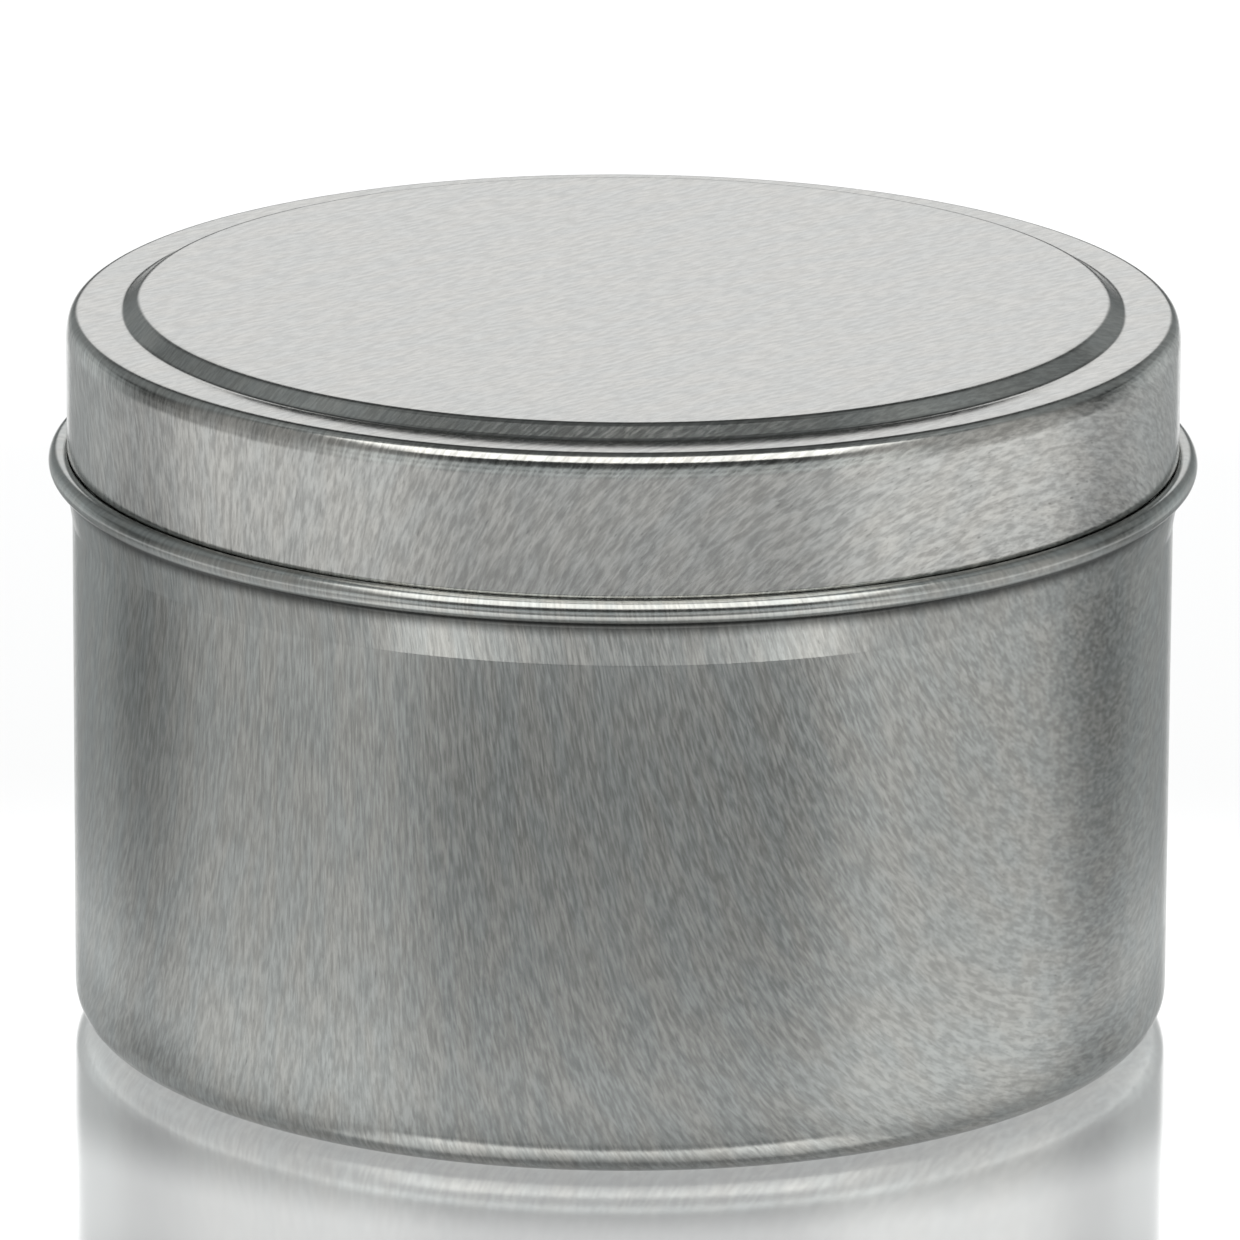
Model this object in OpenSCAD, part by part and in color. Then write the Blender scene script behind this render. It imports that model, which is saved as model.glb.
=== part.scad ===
// Round candle tin with a slip-on lid: two drawn tinplate shells of one sheet thickness.
// Millimetres, +Z up. The origin is the centre of the base, on the surface the tin stands on.

/* [Sheet] */
// Thickness of the tinplate
sheet = 0.25; // [0.2:0.01:0.3]

/* [Body] */
// Outer diameter of the straight wall
body_d = 77.3; // [60:0.1:100]
// Outer radius of the corner between the wall and the base
corner_r = 2.6; // [1.5:0.1:4]
// Diameter of the raised flat in the middle of the base
base_d = 65; // [40:0.5:66]
// Height of that flat above the standing ring
base_rise = 0.8; // [0.5:0.05:1.2]

/* [Bead and neck] */
// Height of the middle of the stop bead above the table
bead_z = 40.65; // [35:0.05:60]
// Outer radius of the bead's round section
bead_r = 0.82; // [0.7:0.02:0.9]
// How far the bead stands out beyond the straight wall
bead_out = 1.65; // [1.6:0.05:1.8]
// Slope of the flared band under the bead, away from vertical
flare_angle = 10; // [9:1:14]
// How far the neck is set in from the straight wall
neck_inset = 0.7; // [0.6:0.05:0.9]
// Outer radius of the rim's inward curl
curl_r = 0.8; // [0.6:0.05:1.2]

/* [Lid] */
// Height of the lid, from its curled lower edge to its raised panel
lid_h = 11.15; // [8:0.01:16]
// Radius of the lid's curled lower edge
hem_r = 0.5; // [0.4:0.01:0.55]
// Radial gap between the curled edge and the neck
slip_gap = 0.05; // [0.03:0.01:0.1]
// Gap between the curled edge and the bead it sits on
seat_gap = 0.06; // [0.03:0.01:0.2]
// Gap between the body's rim and the underside of the lid
rim_gap = 0.3; // [0.1:0.05:1]
// Diameter of the raised flat panel
panel_d = 67; // [40:0.5:68]
// Height of the panel above the flat border around it
panel_rise = 0.9; // [0.7:0.05:1.1]
// Slope of the step down from the panel
step_angle = 35; // [30:1:45]
// Radius of the shoulder where the border turns down
shoulder_r = 1.0; // [0.8:0.1:1.5]

/* [Hidden] */

half = sheet / 2;
arc_step = 12;         // degrees between the points of an arc
turn_facets = 144;     // facets once round the axis

body_r = body_d / 2;
wall_c = body_r - half;                // radii ending in _c are of the middle of the sheet
base_bend_c = 0.6;
base_slope = 45;

bead_c = bead_r - half;
bead_x = body_r + bead_out - bead_r;
bead_lean = 10;                        // slope of the bead's underside where the flare meets it
flare_top_c = 0.725;
flare_foot_c = 0.5;
flare_top_x = bead_x + (bead_c + flare_top_c) * sin(bead_lean);
flare_top_z = bead_z - (bead_c + flare_top_c) * cos(bead_lean);
flare_foot_x = wall_c + flare_foot_c;
flare_bend = flare_foot_c - flare_top_c;
flare_foot_z = flare_top_z - flare_bend * sin(flare_angle)
    - (flare_top_x - flare_foot_x + flare_bend * cos(flare_angle)) / tan(flare_angle);

neck_r = body_r - neck_inset;
neck_c = neck_r - half;
root_c = (bead_x - bead_c - neck_c) / 2;
curl_c = curl_r - half;
curl_turn = 250;

lid_r = neck_r + slip_gap + 2 * hem_r;
hem_x = lid_r - hem_r;
hem_z = bead_z + sqrt(pow(hem_r + bead_r + seat_gap, 2) - pow(bead_x - hem_x, 2));
hem_c = hem_r - half;
hem_turn = 210;
lid_top = hem_z - hem_r + lid_h;
border_z = lid_top - panel_rise;
step_bend_c = 1;
body_h = border_z - sheet - rim_gap;

spring_r = 4;          // the gentler radius in which the shoulder runs out into the lid's wall
spring_angle = 15;
shoulder_x = lid_r - spring_r * (1 - cos(spring_angle)) - shoulder_r * cos(spring_angle);
shoulder_z = border_z - shoulder_r;
spring_x = lid_r - spring_r;
spring_z = shoulder_z + (shoulder_r - spring_r) * sin(spring_angle);

// A sheet's path is a list of bends, each [centre x, centre z, radius, start angle, end angle]
// of the middle of the sheet. Straight stretches join one bend to the next.
// The points of one bend, moved to the right of the path by side.
function bend_points(bend, side) =
    let (sweep = bend[4] - bend[3], steps = ceil(abs(sweep) / arc_step))
    let (r = bend[2] + sign(sweep) * side)
    [for (i = [0:steps])
        let (a = bend[3] + sweep * i / steps)
        [bend[0] + r * cos(a), bend[1] + r * sin(a)]];

function side_points(path, side) = [for (bend = path) each bend_points(bend, side)];

function reversed(list) = [for (i = [len(list) - 1:-1:0]) list[i]];

// Closed outline of a sheet that starts on the axis at height z and follows the path
function sheet_outline(z, path) = concat(
    [[0, z - half]], side_points(path, half),
    reversed(side_points(path, -half)), [[0, z + half]]);

// The two bends of a step that leaves height z at radius x and goes down by drop
function step_down(x, z, drop, bend_r, slope) = [
    [x, z - bend_r, bend_r, 90, 90 - slope],
    [x + 2 * bend_r * sin(slope) + (drop - 2 * bend_r * (1 - cos(slope))) / tan(slope),
        z - drop + bend_r, bend_r, 270 - slope, 270]];

module drawn_sheet(z, path) {
    rotate_extrude($fn = turn_facets) polygon(sheet_outline(z, path));
}

// Cup with a raised base flat, flared band, hollow stop bead, set-in neck and curled rim
module tin_body() {
    base_z = base_rise + half;
    base_step = step_down(base_d / 2, base_z, base_rise, base_bend_c, base_slope);
    corner = [body_r - corner_r, corner_r, corner_r - half, 270, 360];
    flare_foot = [flare_foot_x, flare_foot_z, flare_foot_c, 180, 180 - flare_angle];
    flare_top = [flare_top_x, flare_top_z, flare_top_c, 180 - flare_angle, 90 + bead_lean];
    bead = [bead_x, bead_z, bead_c, bead_lean - 90, 180];
    root = [neck_c + root_c, bead_z, root_c, 0, -180];
    curl = [neck_c - curl_c, body_h - curl_r, curl_c, 0, curl_turn];
    color([0.60, 0.61, 0.60])
        drawn_sheet(base_z, concat(base_step, [corner, flare_foot, flare_top, bead, root, curl]));
}

// Cap with a raised panel, flat border, rounded shoulder, plain wall and curled lower edge
module lid() {
    panel_z = lid_top - half;
    panel_step = step_down(panel_d / 2, panel_z, panel_rise, step_bend_c, step_angle);
    shoulder = [shoulder_x, shoulder_z, shoulder_r - half, 90, spring_angle];
    spring = [spring_x, spring_z, spring_r - half, spring_angle, 0];
    hem = [hem_x, hem_z, hem_c, 0, -hem_turn];
    color([0.78, 0.78, 0.76])
        drawn_sheet(panel_z, concat(panel_step, [shoulder, spring, hem]));
}

tin_body();
lid();
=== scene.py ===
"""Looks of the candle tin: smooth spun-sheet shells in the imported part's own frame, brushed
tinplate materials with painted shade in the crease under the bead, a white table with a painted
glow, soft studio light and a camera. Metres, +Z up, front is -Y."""

import math

import bpy
import numpy as np
from mathutils import Matrix, Vector


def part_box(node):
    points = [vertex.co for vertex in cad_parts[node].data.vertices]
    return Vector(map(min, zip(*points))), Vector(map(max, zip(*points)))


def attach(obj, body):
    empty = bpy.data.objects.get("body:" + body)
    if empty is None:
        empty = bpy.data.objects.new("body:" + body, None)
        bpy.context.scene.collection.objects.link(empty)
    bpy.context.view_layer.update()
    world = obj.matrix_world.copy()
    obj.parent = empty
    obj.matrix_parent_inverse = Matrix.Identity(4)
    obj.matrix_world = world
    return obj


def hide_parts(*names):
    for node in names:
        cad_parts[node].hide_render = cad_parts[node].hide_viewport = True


MM = 0.001
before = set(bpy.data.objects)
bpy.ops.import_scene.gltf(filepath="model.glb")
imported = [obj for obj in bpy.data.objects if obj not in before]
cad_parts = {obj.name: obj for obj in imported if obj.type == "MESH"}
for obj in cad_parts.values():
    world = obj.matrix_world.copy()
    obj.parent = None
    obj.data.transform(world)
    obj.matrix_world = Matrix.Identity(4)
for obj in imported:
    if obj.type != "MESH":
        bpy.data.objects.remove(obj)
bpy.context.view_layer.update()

# ---------------------------------------------------------------- sizes, in millimetres
SHEET = 0.25
HALF = SHEET / 2
CORNER_R = 2.6
BASE_FLAT_R = 32.5
BASE_RISE = 0.8
BASE_BEND_R = 0.6
BASE_STEP_ANGLE = 45
BEAD_R = 0.82
BEAD_OUT = 1.65
BEAD_LEAN = 10
BEAD_GAP = 0.06
FLARE_ANGLE = 10
FLARE_TOP_C = 0.725
FLARE_FOOT_C = 0.5
NECK_INSET = 0.7
CURL_R = 0.8
CURL_SWEEP = 250
HEM_R = 0.5
HEM_SWEEP = 210
PANEL_R = 33.5
PANEL_RISE = 0.9
PANEL_BEND_R = 1.0
STEP_ANGLE = 35
SHOULDER_R = 1.0
SPRING_R = 4
SPRING_ANGLE = 15

body_low, body_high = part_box("tin_body")
lid_low, lid_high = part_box("lid")
BODY_R = max(body_high.x, body_high.y) / MM - BEAD_OUT
BODY_H = body_high.z / MM
LID_R = max(lid_high.x, lid_high.y) / MM
LID_TOP = lid_high.z / MM
HEM_X = LID_R - HEM_R
HEM_Z = lid_low.z / MM + HEM_R
BEAD_X = BODY_R + BEAD_OUT - BEAD_R
BEAD_Z = HEM_Z - math.sqrt((HEM_R + BEAD_R + BEAD_GAP) ** 2 - (BEAD_X - HEM_X) ** 2)

# how finely the shells are cut: steps round the axis, degrees along a bend, mm along a wall, and
# the gap in mm under which two points are one
TURN_STEPS = 300
ARC_STEP = 9
WALL_STEP = 3.0
SAME_POINT = 0.001


# ---------------------------------------------------------------- the sheet's path
def sin(degrees):
    return math.sin(math.radians(degrees))


def cos(degrees):
    return math.cos(math.radians(degrees))


def tan(degrees):
    return math.tan(math.radians(degrees))


def step_down(x, z, drop, bend, slope):
    """The two bends of a step that leaves height z at radius x and goes down by drop."""
    straight_drop = drop - 2 * bend * (1 - cos(slope))
    run = 2 * bend * sin(slope) + straight_drop / tan(slope)
    return [
        (x, z - bend, bend, 90, 90 - slope),
        (x + run, z - drop + bend, bend, 270 - slope, 270),
    ]


def body_path():
    """The cup's sheet from the middle of its base to the end of its rim's curl: the height where
    it starts, then its bends as (centre x, centre z, radius, first angle, last angle)."""
    wall_c = BODY_R - HALF
    bead_c = BEAD_R - HALF
    neck_c = BODY_R - NECK_INSET - HALF
    top_x = BEAD_X + (bead_c + FLARE_TOP_C) * sin(BEAD_LEAN)
    top_z = BEAD_Z - (bead_c + FLARE_TOP_C) * cos(BEAD_LEAN)
    foot_x = wall_c + FLARE_FOOT_C
    bend = FLARE_FOOT_C - FLARE_TOP_C
    rise = (top_x - foot_x + bend * cos(FLARE_ANGLE)) / tan(FLARE_ANGLE)
    foot_z = top_z - bend * sin(FLARE_ANGLE) - rise
    root_c = (BEAD_X - bead_c - neck_c) / 2
    curl_c = CURL_R - HALF
    start = BASE_RISE + HALF
    base = step_down(BASE_FLAT_R, start, BASE_RISE, BASE_BEND_R, BASE_STEP_ANGLE)
    return start, base + [
        (BODY_R - CORNER_R, CORNER_R, CORNER_R - HALF, 270, 360),
        (foot_x, foot_z, FLARE_FOOT_C, 180, 180 - FLARE_ANGLE),
        (top_x, top_z, FLARE_TOP_C, 180 - FLARE_ANGLE, 90 + BEAD_LEAN),
        (BEAD_X, BEAD_Z, bead_c, BEAD_LEAN - 90, 180),
        (neck_c + root_c, BEAD_Z, root_c, 0, -180),
        (neck_c - curl_c, BODY_H - CURL_R, curl_c, 0, CURL_SWEEP),
    ]


def lid_path():
    """The cap's sheet from the middle of its panel to the end of its curled edge, in the same
    form as the cup's."""
    start = LID_TOP - HALF
    border = LID_TOP - PANEL_RISE
    shoulder_x = LID_R - SPRING_R * (1 - cos(SPRING_ANGLE)) - SHOULDER_R * cos(SPRING_ANGLE)
    shoulder_z = border - SHOULDER_R
    spring_z = shoulder_z + (SHOULDER_R - SPRING_R) * sin(SPRING_ANGLE)
    panel = step_down(PANEL_R, start, PANEL_RISE, PANEL_BEND_R, STEP_ANGLE)
    return start, panel + [
        (shoulder_x, shoulder_z, SHOULDER_R - HALF, 90, SPRING_ANGLE),
        (LID_R - SPRING_R, spring_z, SPRING_R - HALF, SPRING_ANGLE, 0),
        (HEM_X, HEM_Z, HEM_R - HALF, 0, -HEM_SWEEP),
    ]


def path_points(start, path):
    """Points along the middle of the sheet, each with the normal to the right of the path."""
    points = [(0.0, start, 0.0, -1.0)]
    for cx, cz, r, a0, a1 in path:
        sweep = a1 - a0
        turn = math.copysign(1, sweep)
        steps = max(2, math.ceil(abs(sweep) / ARC_STEP))
        for i in range(steps + 1):
            a = a0 + sweep * i / steps
            point = (cx + r * cos(a), cz + r * sin(a), turn * cos(a), turn * sin(a))
            if i == 0:
                if gap(points[-1], point) < SAME_POINT:
                    continue
                points += straight(points[-1], point)
            points.append(point)
    return points


def gap(a, b):
    return math.hypot(b[0] - a[0], b[1] - a[1])


def straight(a, b):
    """Points between two bends, close enough together for the grain to follow the sheet."""
    n = int(gap(a, b) / WALL_STEP)
    return [
        tuple(a[k] + (b[k] - a[k]) * i / (n + 1) for k in range(2)) + (b[2], b[3])
        for i in range(1, n + 1)
    ]


def blank_radius(points):
    """Where each point of the sheet lay in the flat blank: drawing keeps the sheet's area."""
    out, area = [0.0], 0.0
    for a, b in zip(points, points[1:]):
        area += (a[0] + b[0]) * gap(a, b)
        out.append(math.sqrt(area))
    return out


# ---------------------------------------------------------------- spinning the shells
def spin_shell(name, start, path, grain_angle):
    """A closed shell of the sheet's thickness, with the path's own normals. Its UV map 'grain'
    holds each point's place in the flat blank, in millimetres, with u along the rolling
    direction."""
    middle = path_points(start, path)
    rho = blank_radius(middle)
    both = list(zip(middle, rho))
    under = [(x + nx * HALF, z + nz * HALF, q, nx, nz) for (x, z, nx, nz), q in both]
    over = [(x - nx * HALF, z - nz * HALF, q, -nx, -nz) for (x, z, nx, nz), q in both]
    ring = under[1:] + over[:0:-1]
    n = len(ring)
    turns = np.linspace(0, 2 * math.pi, TURN_STEPS, endpoint=False)
    verts = [(0, 0, under[0][1] * MM)]
    verts += [
        (x * math.sin(t) * MM, -x * math.cos(t) * MM, z * MM) for t in turns for x, z, *_ in ring
    ]
    verts.append((0, 0, over[0][1] * MM))
    normals = [(0, 0, under[0][4])]
    normals += [
        (nx * math.sin(t), -nx * math.cos(t), nz) for t in turns for _, _, _, nx, nz in ring
    ]
    normals.append((0, 0, over[0][4]))
    last = len(verts) - 1
    faces = []
    for j in range(TURN_STEPS):
        a, b = 1 + j * n, 1 + (j + 1) % TURN_STEPS * n
        faces.append((0, b, a))
        faces += [(a + i, b + i, b + i + 1, a + i + 1) for i in range(n - 1)]
        faces.append((last, a + n - 1, b + n - 1))
    mesh = bpy.data.meshes.new(name)
    mesh.from_pydata(verts, [], faces)
    along = Vector((sin(grain_angle), -cos(grain_angle)))
    across = Vector((-along.y, along.x))
    place = [(0.0, 0.0)]
    for t in turns:
        for _, _, q, *_ in ring:
            p = Vector((math.sin(t) * q, -math.cos(t) * q))
            place.append((p.dot(along), p.dot(across)))
    place.append((0.0, 0.0))
    uv = mesh.uv_layers.new(name="grain")
    for loop in mesh.loops:
        uv.data[loop.index].uv = place[loop.vertex_index]
    mesh.shade_smooth()
    mesh.normals_split_custom_set_from_vertices(normals)
    obj = bpy.data.objects.new(name, mesh)
    bpy.context.scene.collection.objects.link(obj)
    return obj


# ---------------------------------------------------------------- materials
# streaks of the rolled sheet: length and width in mm, detail, seed offset, roughness
COARSE = (1.6, 0.42, 3.0, 0.0, 0.6)
FINE = (0.8, 0.20, 2.0, 7.3, 0.5)
PATCHES = (5.0, 2.4, 2.0, 13.1, 0.5)
PITS = (0.7, 0.17, 1.0, 31.9, 0.5)
COARSE_SHARE, FINE_SHARE = 0.65, 0.35
GRAIN_LOW, GRAIN_HIGH = 0.36, 0.64
PATCH_LOW, PATCH_HIGH = 0.35, 0.65
PIT_LOW, PIT_HIGH = 0.68, 0.80
PIT_DEPTH = 0.3
PIT_DARK = 0.25
ROUGH_LOW, ROUGH_HIGH = 0.3, 0.7
ROUGH_LESS, ROUGH_MORE = 0.03, 0.04
# how much of the grain's relief and tone is left above the calm height, and the blend in mm
CALM_BLEND = 0.6
CALM_RELIEF = 0.25
CALM_TONE = 0.62
# painted shade: how dark the colour is made under the bead, where its shadow falls
CREASE_PAINTED_SHADE = 0.10

# the table's painted glow, a painted pool of light round the tin with a painted shadow at its foot
# and a painted ring further out: its strengths, and distances in metres from the tin's axis or
# along Y
TABLE_PAINTED_POOL = 0.44
TABLE_MID = 0.18
TABLE_PAINTED_RING = 0.38
TABLE_FAR = 0.13
TABLE_FOOT_PAINTED_LIGHT = 0.10
TABLE_PAINTED_SHADOW = 0.26
TABLE_TINT = (0.99, 1.0, 1.0, 1)
NEAR_TO_MID = (0.045, 0.155)
FOOT_EDGE = (0.056, 0.072)
SHADE_EDGE = (0.043, 0.052)
BEHIND_EDGE = (-0.02, 0.06)
FAR_EDGE = (0.28, 0.38)
RING_INSIDE = (0.15, 0.19)
RING_OUTSIDE = (0.26, 0.38)
RING_BEHIND = (0.06, 0.14)
RING_BEHIND_SHARE = 0.25
POLISH_ROUGHNESS = 0.1
POLISH_CURVE = 0.6


class Nodes:
    """Short calls for building a node tree."""

    def __init__(self, tree):
        self.tree = tree
        tree.nodes.clear()

    def add(self, kind, inputs=None, **settings):
        node = self.tree.nodes.new(kind)
        for key, value in settings.items():
            setattr(node, key, value)
        for key, value in (inputs or {}).items():
            socket = node.inputs[key]
            if isinstance(value, bpy.types.NodeSocket):
                self.tree.links.new(value, socket)
            else:
                socket.default_value = value
        return node

    def math(self, op, a, b=0.0):
        return self.add("ShaderNodeMath", {0: a, 1: b}, operation=op).outputs[0]

    def vector(self, op, a, b):
        return self.add("ShaderNodeVectorMath", {0: a, 1: b}, operation=op).outputs[0]

    def grey(self, value):
        return self.add("ShaderNodeCombineXYZ", {0: value, 1: value, 2: value}).outputs[0]

    def ramp(self, value, low, high, to_low=0.0, to_high=1.0):
        """A smooth step: to_low at or below low, to_high at or above high."""
        inputs = {"Value": value, "From Min": low, "From Max": high}
        inputs |= {"To Min": to_low, "To Max": to_high}
        node = self.add("ShaderNodeMapRange", inputs, interpolation_type="SMOOTHSTEP")
        return node.outputs["Result"]

    def streaks(self, uv, seed, kind):
        """Noise stretched along the rolling direction, with streaks of that kind."""
        length, width, detail, offset, roughness = kind
        place = self.vector("MULTIPLY", uv, (1 / length, 1 / width, 1.0))
        place = self.vector("ADD", place, (0.0, 0.0, seed + offset))
        noise = self.add(
            "ShaderNodeTexNoise",
            {"Vector": place, "Scale": 1.0, "Detail": detail, "Roughness": roughness},
            noise_dimensions="3D",
        )
        return noise.outputs["Fac"]


def tinplate(name, cool, warm, seed, roughness, contrast, relief, calm, crease=None):
    """Bright tinplate: short fine streaks along the rolling direction, faint patches of cooler and
    warmer tone, and tiny dark pits. Above the height calm the sheet is smoother, so its grain is
    fainter. The crease is painted shade, the colour darkened under the bead where its shadow falls:
    heights where that starts, is full and ends."""
    mat = bpy.data.materials.new(name)
    mat.use_nodes = True
    n = Nodes(mat.node_tree)
    uv = n.add("ShaderNodeUVMap", uv_map="grain").outputs["UV"]
    place = n.add("ShaderNodeTexCoord").outputs["Object"]
    z = n.add("ShaderNodeSeparateXYZ", {0: place}).outputs[2]

    coarse = n.streaks(uv, seed, COARSE)
    fine = n.streaks(uv, seed, FINE)
    patches = n.streaks(uv, seed, PATCHES)
    pit = n.ramp(n.streaks(uv, seed, PITS), PIT_LOW, PIT_HIGH)
    coarse_part = n.math("MULTIPLY", coarse, COARSE_SHARE)
    grain = n.math("ADD", coarse_part, n.math("MULTIPLY", fine, FINE_SHARE))

    def calmed(value, left):
        """The value, faded to what is left of it above the calm height."""
        return n.math(
            "MULTIPLY", value, n.ramp(z, (calm - CALM_BLEND) * MM, calm * MM, 1.0, left)
        )

    height = n.math("SUBTRACT", grain, n.math("MULTIPLY", pit, PIT_DEPTH))
    height = calmed(height, CALM_RELIEF)
    bump = n.add("ShaderNodeBump", {"Strength": 1.0, "Distance": relief * MM, "Height": height})

    tone = n.ramp(patches, PATCH_LOW, PATCH_HIGH)
    mix = n.add("ShaderNodeMix", {"Factor": tone, "A": cool, "B": warm}, data_type="RGBA")
    swing = n.ramp(grain, GRAIN_LOW, GRAIN_HIGH, -contrast, contrast)
    swing = n.math("SUBTRACT", swing, n.math("MULTIPLY", pit, PIT_DARK))
    shade = n.math("ADD", 1.0, calmed(swing, CALM_TONE))
    # painted shade: the colour is darkened under the bead, standing in for its shadow
    if crease:
        start, full, end = crease
        dark = n.math(
            "MAXIMUM",
            n.ramp(z, start * MM, full * MM, 1.0, CREASE_PAINTED_SHADE),
            n.ramp(z, full * MM, end * MM, 0.0, 1.0),
        )
        shade = n.math("MULTIPLY", shade, dark)
    colour = n.vector("MULTIPLY", mix.outputs["Result"], n.grey(shade))
    rough = n.ramp(fine, ROUGH_LOW, ROUGH_HIGH, roughness - ROUGH_LESS, roughness + ROUGH_MORE)
    shader = n.add(
        "ShaderNodeBsdfPrincipled",
        {
            "Base Color": colour,
            "Metallic": 1.0,
            "Roughness": rough,
            "Normal": bump.outputs["Normal"],
        },
    )
    n.add("ShaderNodeOutputMaterial", {"Surface": shader.outputs[0]})
    return mat


def table_painted_glow():
    """White table whose glow is painted light, not lit by the lamps. The glow changes with the
    place on it: a painted pool of light round the tin, a painted shadow close to its foot, less
    behind it and far away, with a painted bright ring further out. Its polish mirrors more the
    flatter it is looked at."""
    mat = bpy.data.materials.new("table_painted_glow")
    mat.use_nodes = True
    n = Nodes(mat.node_tree)
    place = n.add("ShaderNodeTexCoord").outputs["Object"]
    away = n.add("ShaderNodeVectorMath", {0: place}, operation="LENGTH").outputs["Value"]
    y = n.add("ShaderNodeSeparateXYZ", {0: place}).outputs[1]
    # painted light: a pool of light round the tin, brighter at its foot, with a painted shadow
    # right at the foot
    painted_pool_and_shadow = n.ramp(away, *NEAR_TO_MID, TABLE_PAINTED_POOL, TABLE_MID)
    painted_pool_and_shadow = n.math("ADD", painted_pool_and_shadow, n.ramp(away, *FOOT_EDGE, TABLE_FOOT_PAINTED_LIGHT, 0.0))
    painted_pool_and_shadow = n.math("SUBTRACT", painted_pool_and_shadow, n.ramp(away, *SHADE_EDGE, TABLE_PAINTED_SHADOW, 0.0))
    edge = n.math("MAXIMUM", n.ramp(y, *BEHIND_EDGE), n.ramp(away, *FAR_EDGE))
    fall = n.math("MULTIPLY", n.math("SUBTRACT", TABLE_FAR, painted_pool_and_shadow), edge)
    # painted light: a bright ring further out on the table
    ring_in = n.ramp(away, *RING_INSIDE, 0.0, TABLE_PAINTED_RING)
    ring = n.math("MULTIPLY", ring_in, n.ramp(away, *RING_OUTSIDE, 1.0, 0.0))
    ring = n.math("MULTIPLY", ring, n.ramp(y, *RING_BEHIND, 1.0, RING_BEHIND_SHARE))
    glow = n.math("ADD", n.math("ADD", painted_pool_and_shadow, fall), ring)
    # the table's emission is painted light, it is no lamp
    light = n.add("ShaderNodeEmission", {"Color": TABLE_TINT, "Strength": glow})
    gloss = n.add("ShaderNodeBsdfGlossy", {"Color": (1, 1, 1, 1), "Roughness": POLISH_ROUGHNESS})
    facing = n.add("ShaderNodeLayerWeight", {"Blend": 0.5}).outputs["Facing"]
    dark = n.add("ShaderNodeBsdfDiffuse", {"Color": (0, 0, 0, 1)})
    share = n.math("POWER", facing, POLISH_CURVE)
    polish = n.add("ShaderNodeMixShader", {0: share, 1: dark.outputs[0], 2: gloss.outputs[0]})
    both = n.add("ShaderNodeAddShader", {0: light.outputs[0], 1: polish.outputs[0]})
    n.add("ShaderNodeOutputMaterial", {"Surface": both.outputs[0]})
    return mat


# ---------------------------------------------------------------- the camera
# distance in metres, pitch and roll in degrees, lens and sensor in mm
CAM_DISTANCE = 0.900
CAM_PITCH = 16.19
CAM_ROLL = 0.3
CAM_AIM = Vector((0, 0, 0.02862))
CAM_SENSOR = 36
CAM_LENS = 370.8
CAM_SHIFT_X = -0.00175
CAM_CLIP = (0.05, 20)


def make_camera():
    data = bpy.data.cameras.new("camera")
    data.sensor_width = CAM_SENSOR
    data.lens = CAM_LENS
    data.shift_x = CAM_SHIFT_X
    data.clip_start, data.clip_end = CAM_CLIP
    cam = bpy.data.objects.new("camera", data)
    bpy.context.scene.collection.objects.link(cam)
    back = Vector((0, -cos(CAM_PITCH), sin(CAM_PITCH)))
    turn = (-back).to_track_quat("-Z", "Y").to_matrix().to_4x4()
    roll = Matrix.Rotation(math.radians(CAM_ROLL), 4, "Z")
    cam.matrix_world = Matrix.Translation(CAM_AIM + back * CAM_DISTANCE) @ turn @ roll
    bpy.context.scene.camera = cam


# ---------------------------------------------------------------- light and table
TABLE_HALF = 4.0
BACKDROP = 0.98
LEFT_BOX = 0.31
RIGHT_BOX = 0.45
OVERHEAD = 1.9
FRONT_LOW = 0.60
REAR_LOW = 0.23
REAR_SIDE = 0.24
REAR_HIGH = 0.19
ZENITH = 0.13
REAR_TOP = 0.06
SIDE_HIGH = 0.22
ROOM = 0.065
WHITE = (1.0, 1.0, 1.0)
WARM = (1.0, 0.99, 0.96)
COOL = (0.94, 1.0, 1.0)


def make_table():
    corners = [(x * TABLE_HALF, y * TABLE_HALF, 0) for x, y in ((-1, -1), (1, -1), (1, 1), (-1, 1))]
    mesh = bpy.data.meshes.new("table")
    mesh.from_pydata(corners, [], [(0, 1, 2, 3)])
    mesh.materials.append(table_painted_glow())
    table = bpy.data.objects.new("table", mesh)
    bpy.context.scene.collection.objects.link(table)


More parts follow.
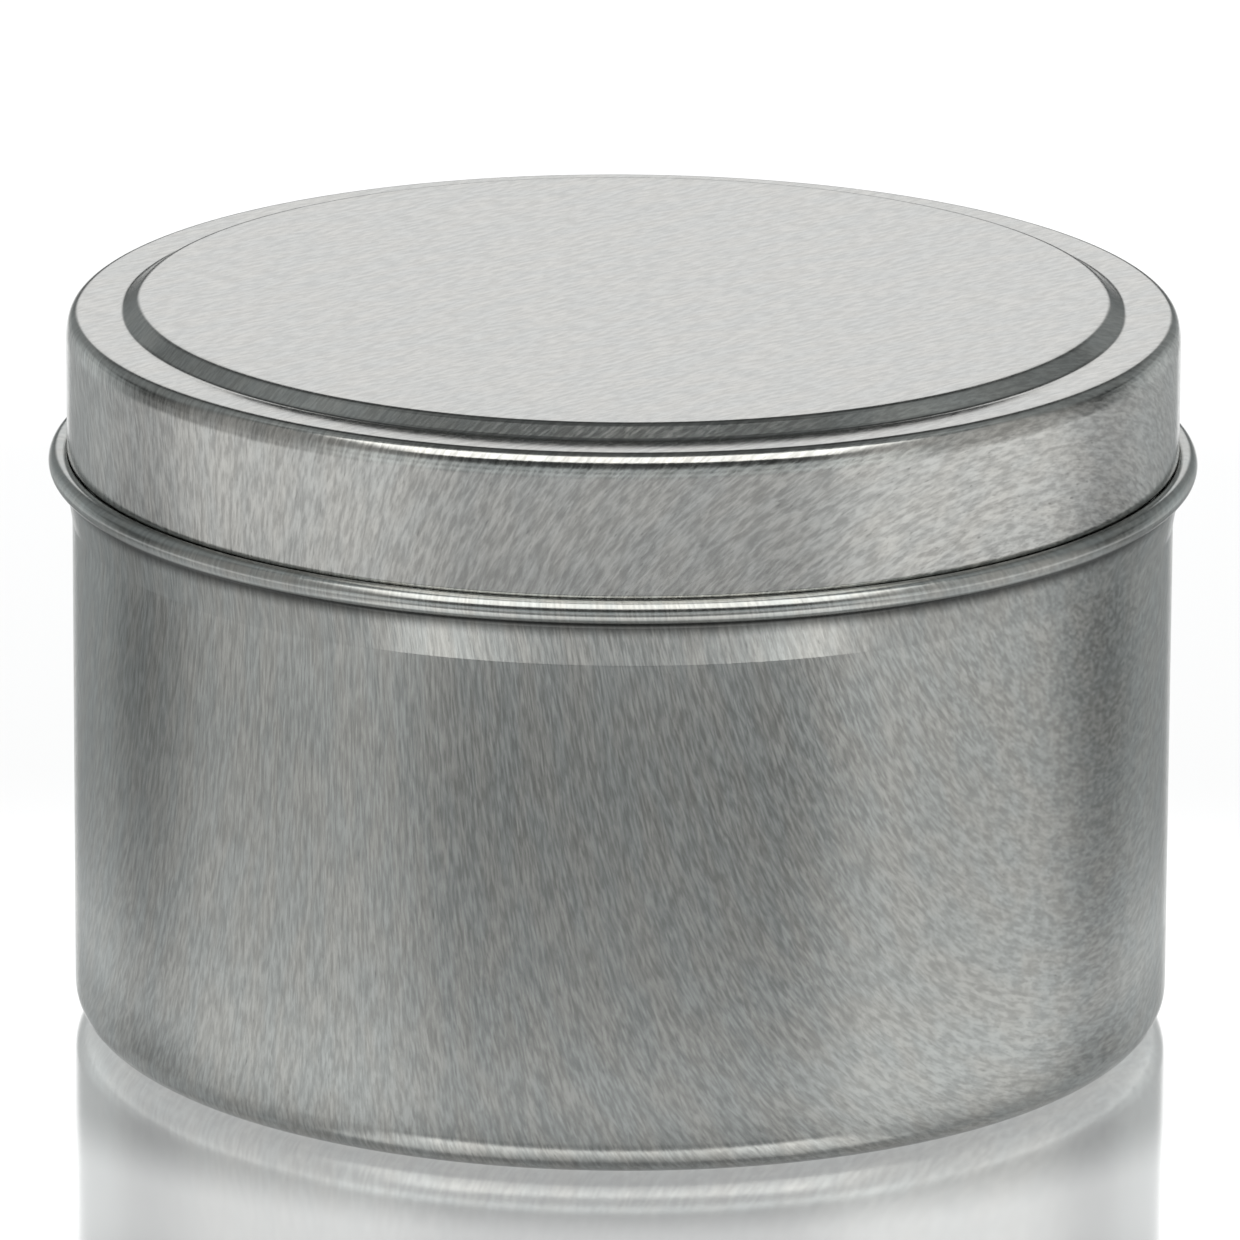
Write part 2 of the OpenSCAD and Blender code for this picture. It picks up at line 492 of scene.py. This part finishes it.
def make_world():
    """A studio seen as directions, in degrees: 'up' is the height over the horizon, 'side' the
    turn from the front to the right, 'behind' the turn from the back to either side, 'over' the
    arc from the front horizon across the top and 'across' the lean to the right of that arc."""
    world = bpy.data.worlds.new("studio")
    world.use_nodes = True
    n = Nodes(world.node_tree)
    direction = n.add("ShaderNodeTexCoord").outputs["Generated"]
    x, y, z = n.add("ShaderNodeSeparateXYZ", {0: direction}).outputs
    front = n.math("MULTIPLY", y, -1.0)
    degrees = 180 / math.pi
    up = n.math("MULTIPLY", n.math("ARCSINE", z), degrees)
    side = n.math("MULTIPLY", n.math("ARCTAN2", x, front), degrees)
    over = n.math("MULTIPLY", n.math("ARCTAN2", z, front), degrees)
    across = n.math("MULTIPLY", n.math("ARCSINE", x), degrees)
    behind = n.math("SUBTRACT", 180.0, n.math("ABSOLUTE", side))

    def band(value, low, high, soft):
        """1 between low and high, with soft edges that many degrees wide."""
        rise = n.ramp(value, low - soft / 2, low + soft / 2)
        fall = n.ramp(value, high - soft / 2, high + soft / 2, 1.0, 0.0)
        return n.math("MULTIPLY", rise, fall)

    def light(power, colour, *bands):
        """A soft light of that power where all its bands overlap."""
        shape = power
        for each in bands:
            shape = n.math("MULTIPLY", each, shape)
        return n.vector("MULTIPLY", n.grey(shape), colour)

    lights = [
        light(BACKDROP, WHITE, n.ramp(behind, 10, 17, 1.0, 0.0), band(up, 7, 28, 4)),
        light(LEFT_BOX, WARM, band(side, -104, -43, 24), band(up, -10, 46, 4)),
        light(RIGHT_BOX, WARM, band(side, 45, 106, 24), band(up, -10, 46, 4)),
        light(OVERHEAD, WARM, band(over, 40, 89, 4), band(across, -38, 38, 14)),
        light(FRONT_LOW, COOL, band(side, -60, 60, 24), band(up, 1, 8, 3)),
        light(REAR_LOW, COOL, band(behind, 14, 50, 14), band(up, -10, 23, 6)),
        light(REAR_SIDE, COOL, band(behind, 30, 62, 14), band(up, -10, 13, 6)),
        light(REAR_HIGH, COOL, band(behind, 24, 70, 20), band(up, 23, 60, 16)),
        light(ZENITH, COOL, band(over, 86, 106, 6), band(across, -8, 8, 8)),
        light(REAR_TOP, COOL, band(over, 108, 130, 12), band(across, -60, 60, 20)),
        light(SIDE_HIGH, COOL, band(behind, 55, 130, 20), band(up, 48, 82, 12)),
        light(ROOM, COOL),
    ]
    total = lights[0]
    for each in lights[1:]:
        total = n.vector("ADD", total, each)
    background = n.add("ShaderNodeBackground", {"Color": total, "Strength": 1.0})
    n.add("ShaderNodeOutputWorld", {"Surface": background.outputs[0]})
    bpy.context.scene.world = world


# ---------------------------------------------------------------- putting it together
CUP_COOL, CUP_WARM = (0.450, 0.466, 0.458, 1), (0.468, 0.470, 0.452, 1)
CAP_COOL, CAP_WARM = (0.500, 0.504, 0.492, 1), (0.520, 0.515, 0.495, 1)
CUP_GRAIN_ANGLE = -30
CAP_GRAIN_ANGLE = -45
# heights in mm over the bead's underside: where the painted shade under the bead starts, is full
# and ends, and where the cup's sheet is calm; then where the cap's is, over its border
CREASE_PAINTED_SHADE_HEIGHTS = (-1.4, -0.1, 0.4)
CUP_CALM = 0.3
CAP_CALM = -0.05


def build():
    scene = bpy.context.scene
    scene.view_settings.view_transform = "Standard"
    make_camera()
    make_world()
    make_table()

    cup = spin_shell("cup", *body_path(), grain_angle=CUP_GRAIN_ANGLE)
    crease_z = BEAD_Z - BEAD_R
    # the cup's colour carries painted shade under the bead
    body_tin = tinplate(
        "tinplate_cup", CUP_COOL, CUP_WARM, seed=0.0, roughness=0.20, contrast=0.18,
        relief=0.014, calm=crease_z + CUP_CALM, crease=tuple(crease_z + h for h in CREASE_PAINTED_SHADE_HEIGHTS),
    )
    cup.data.materials.append(body_tin)
    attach(cup, "tin")
    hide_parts("tin_body")

    cap = spin_shell("cap", *lid_path(), grain_angle=CAP_GRAIN_ANGLE)
    lid_tin = tinplate(
        "tinplate_cap", CAP_COOL, CAP_WARM, seed=50.0, roughness=0.15, contrast=0.23,
        relief=0.010, calm=LID_TOP - PANEL_RISE + CAP_CALM,
    )
    cap.data.materials.append(lid_tin)
    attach(cap, "lid")
    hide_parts("lid")


build()
